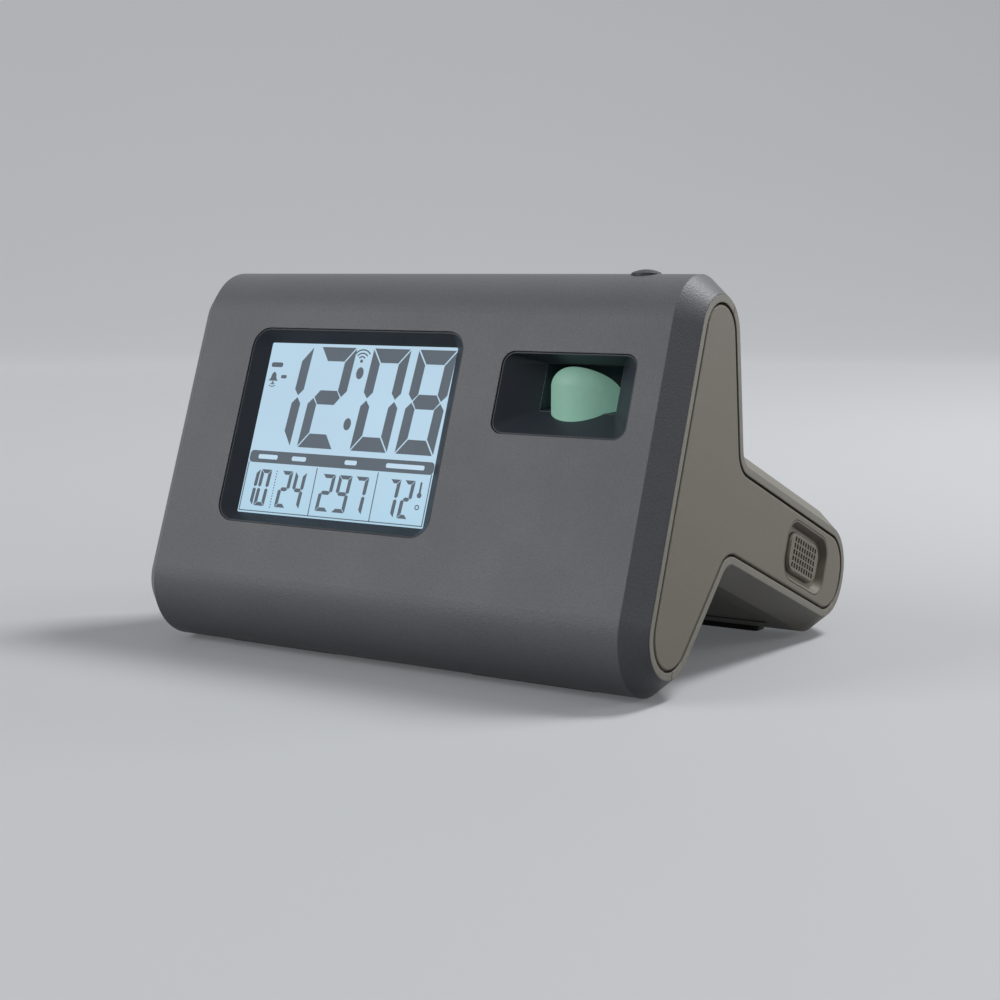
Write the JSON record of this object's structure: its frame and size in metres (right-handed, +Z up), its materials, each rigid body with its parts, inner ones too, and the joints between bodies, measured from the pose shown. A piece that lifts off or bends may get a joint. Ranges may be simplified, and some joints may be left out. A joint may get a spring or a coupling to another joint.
{
  "type": "projection alarm clock",
  "caption": "Battery alarm clock with a leaning front, rear leg, lit number display and a frosted projector head in a recess that throws the time on a wall.",
  "frame": {"origin": "middle of the footprint, on the surface that the feet stand on", "axes": "+X to the viewer's right across the display, +Y to the back, +Z up"},
  "size_m": [0.165, 0.132, 0.1073],
  "materials": {
    "charcoal_plastic": "fine texture, satin",
    "taupe_plastic": "fine texture, satin",
    "cap_plastic": "fine texture, satin",
    "dark_plastic": "satin",
    "button_plastic": "smooth",
    "display_glass": "matt polariser over lit glass",
    "light_guide": "white, translucent",
    "frosted_plastic": "frosted, translucent",
    "lens_glass": "clear, polished",
    "circuit_board": "solder mask over fibreglass",
    "chip_plastic": "moulded epoxy",
    "lamp_plastic": "clear epoxy",
    "white_plastic": "acetal",
    "elastomer": "conductive silicone",
    "foot_rubber": "matt",
    "steel": "plated",
    "cell_jacket": "plain wrapped cell",
    "speaker_paper": "pressed paper"
  },
  "bodies": {
    "casing": {"front_casing": "charcoal_plastic", "rear_casing": "taupe_plastic", "front_trim_right": "taupe_plastic", "front_trim_left": "taupe_plastic", "end_cap_right": "cap_plastic", "end_cap_left": "cap_plastic", "window_bezel": "dark_plastic", "lcd_panel": "display_glass", "lcd_diffuser": "light_guide", "lcd_lamp": "lamp_plastic", "lcd_connector": "elastomer", "lcd_frame": "white_plastic", "main_board": "circuit_board", "clock_chip": "chip_plastic", "crystal": "steel", "thermistor": "chip_plastic", "projector_bezel": "dark_plastic", "projector_housing": "dark_plastic", "lamp_board": "circuit_board", "projector_lamp": "lamp_plastic", "projector_slide": "lens_glass", "condenser_lens": "lens_glass", "top_switch": "chip_plastic", "top_board": "circuit_board", "button_board": "circuit_board", "alarm_switch_base": "chip_plastic", "base_cover": "taupe_plastic", "speaker_grille": "cap_plastic", "speaker_frame": "steel", "speaker_cone": "speaker_paper", "speaker_magnet": "steel", "board_screws": "steel", "casing_screws": "steel", "rear_switches": "chip_plastic", "battery_cells": "cell_jacket", "battery_springs": "steel", "battery_contacts": "steel", "front_feet": "foot_rubber", "rear_feet": "foot_rubber"},
    "projector_head": {"projector_head": "frosted_plastic"},
    "focus_knob": {"focus_pinion": "white_plastic", "focus_shaft": "steel", "focus_knob": "dark_plastic"},
    "focus_carriage": {"focus_carriage": "white_plastic", "focus_lens": "lens_glass"},
    "top_button": {"top_button": "button_plastic"},
    "alarm_switch": {"alarm_switch": "dark_plastic"},
    "battery_door": {"battery_door": "taupe_plastic"},
    "rear_button_1": {"rear_button_1": "dark_plastic"},
    "rear_button_2": {"rear_button_2": "dark_plastic"},
    "rear_button_3": {"rear_button_3": "dark_plastic"},
    "rear_button_4": {"rear_button_4": "dark_plastic"}
  },
  "joints": [
    {"name": "projector_swivel", "type": "hinge", "parent": "casing", "child": "projector_head", "pos_m": [0.0485, -0.03322, 0.07043], "axis": [0, 0, 1], "range_deg": [-45, 45]},
    {"name": "focus_turn", "type": "hinge", "parent": "casing", "child": "focus_knob", "pos_m": [0.05535, -0.01572, 0.07403], "axis": [0, 1, 0], "range_deg": [-30, 30]},
    {"name": "focus_slide", "type": "slide", "parent": "casing", "child": "focus_carriage", "axis": [0, 0, 1], "range_m": [-0.0025, 0.0025]},
    {"name": "top_button_press", "type": "slide", "parent": "casing", "child": "top_button", "axis": [0, 0, -1], "range_m": [0, 0.0008], "stiffness_N_per_m": 1500},
    {"name": "alarm_switch_slide", "type": "slide", "parent": "casing", "child": "alarm_switch", "axis": [1, 0, 0], "range_m": [0, 0.004]},
    {"name": "battery_door_hinge", "type": "hinge", "parent": "casing", "child": "battery_door", "pos_m": [0, 0.00043, 0.01985], "axis": [-1, 0, 0], "range_deg": [0, 80]},
    {"name": "rear_button_1_press", "type": "slide", "parent": "casing", "child": "rear_button_1", "axis": [0, -0.9947, -0.1028], "range_m": [0, 0.0007], "stiffness_N_per_m": 1200},
    {"name": "rear_button_2_press", "type": "slide", "parent": "casing", "child": "rear_button_2", "axis": [0, -0.9947, -0.1028], "range_m": [0, 0.0007], "stiffness_N_per_m": 1200},
    {"name": "rear_button_3_press", "type": "slide", "parent": "casing", "child": "rear_button_3", "axis": [0, -0.9947, -0.1028], "range_m": [0, 0.0007], "stiffness_N_per_m": 1200},
    {"name": "rear_button_4_press", "type": "slide", "parent": "casing", "child": "rear_button_4", "axis": [0, -0.9947, -0.1028], "range_m": [0, 0.0007], "stiffness_N_per_m": 1200}
  ],
  "couplings": [
    {"joint": "focus_turn", "follows": "focus_slide", "rad_per_m": 208.33}
  ]
}
